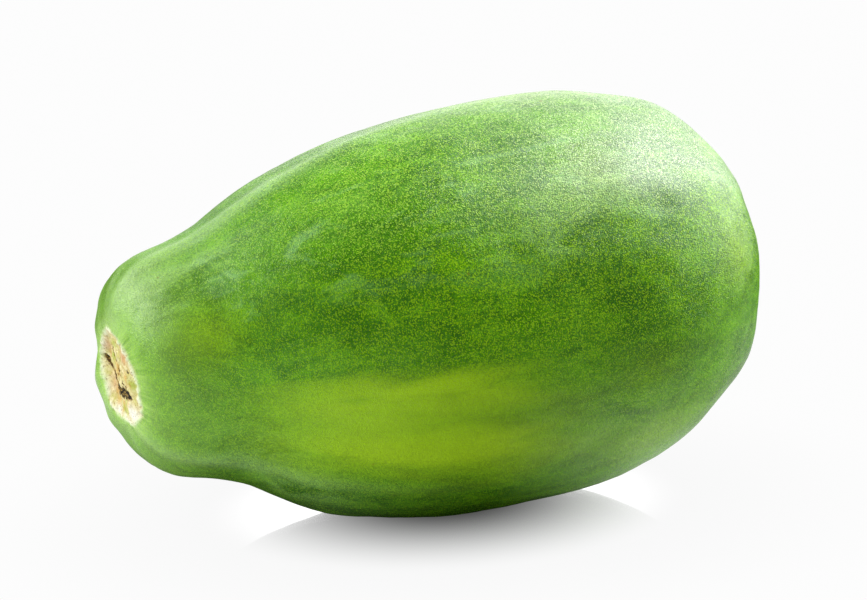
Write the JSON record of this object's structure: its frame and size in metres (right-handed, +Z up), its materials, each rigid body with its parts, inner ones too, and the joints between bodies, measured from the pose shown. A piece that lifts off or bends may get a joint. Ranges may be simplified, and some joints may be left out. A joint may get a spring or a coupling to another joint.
{
  "type": "green papaya",
  "caption": "Whole unripe papaya lying on its side: a long pear-shaped body with five soft lobes, a narrow neck ending in a recessed stem scar, and a small blossom tip.",
  "frame": {"origin": "Middle of the fruit's box in plan, on the surface that it rests on.", "axes": "+X along the core from the stem end to the blossom end, +Z up, -Y the side that the picture shows."},
  "size_m": [0.2322, 0.1332, 0.1354],
  "materials": {
    "skin": "waxy green fruit skin, satin gloss with faint streaks and specks"
  },
  "bodies": {
    "root": {"papaya": "skin"}
  },
  "joints": []
}
